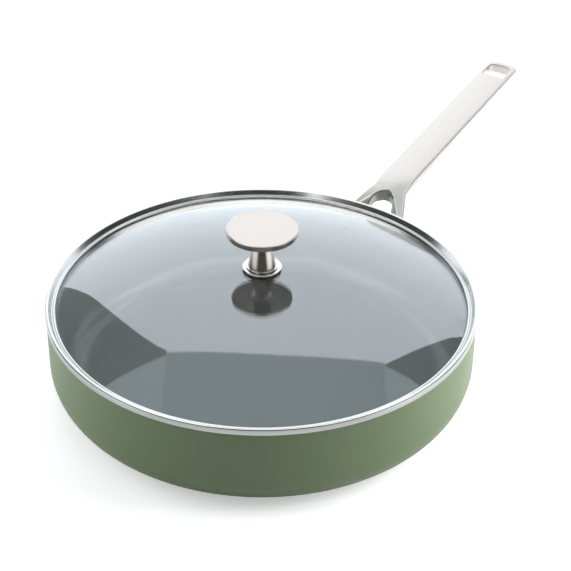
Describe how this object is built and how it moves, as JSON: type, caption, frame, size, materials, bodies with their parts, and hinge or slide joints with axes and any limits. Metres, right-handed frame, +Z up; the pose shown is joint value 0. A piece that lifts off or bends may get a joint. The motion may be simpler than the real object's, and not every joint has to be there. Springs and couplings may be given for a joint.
{
  "type": "saute pan with lid",
  "caption": "Round saute pan with rounded base corners, a forked cast handle with a hang hole, and a domed glass lid with a flat round knob.",
  "frame": {"origin": "centre of the base plate's underside, on the surface the pan stands on", "axes": "+Z up along the pan's middle axis, +X along the handle from the pan out to its tip"},
  "size_m": [0.54, 0.306, 0.1282],
  "materials": {
    "enamel": "aluminium with semi-gloss olive green enamel outside",
    "lining": "smooth dark grey ceramic coating",
    "base_steel": "pressed steel plate with turned grain",
    "cast_steel": "satin cast stainless steel",
    "rivet_steel": "satin stainless steel",
    "rim_steel": "bright rolled stainless steel",
    "lid_glass": "clear tempered glass",
    "knob_steel": "turned satin stainless steel",
    "collar_steel": "polished steel",
    "silicone": "matte dark silicone",
    "screw_steel": "plain steel"
  },
  "bodies": {
    "pan": {"pan_body": "enamel", "ceramic_lining": "lining", "induction_plate": "base_steel", "handle": "cast_steel", "rivet_left": "rivet_steel", "rivet_right": "rivet_steel"},
    "lid": {"lid_rim": "rim_steel", "lid_glass": "lid_glass", "knob": "knob_steel", "knob_collar": "collar_steel", "knob_gasket": "silicone", "lower_gasket": "silicone", "knob_washer": "screw_steel", "knob_screw": "screw_steel"}
  },
  "joints": [
    {"name": "lid_lift", "type": "slide", "parent": "pan", "child": "lid", "axis": [0, 0, 1], "range_m": [0, 0.12]}
  ]
}
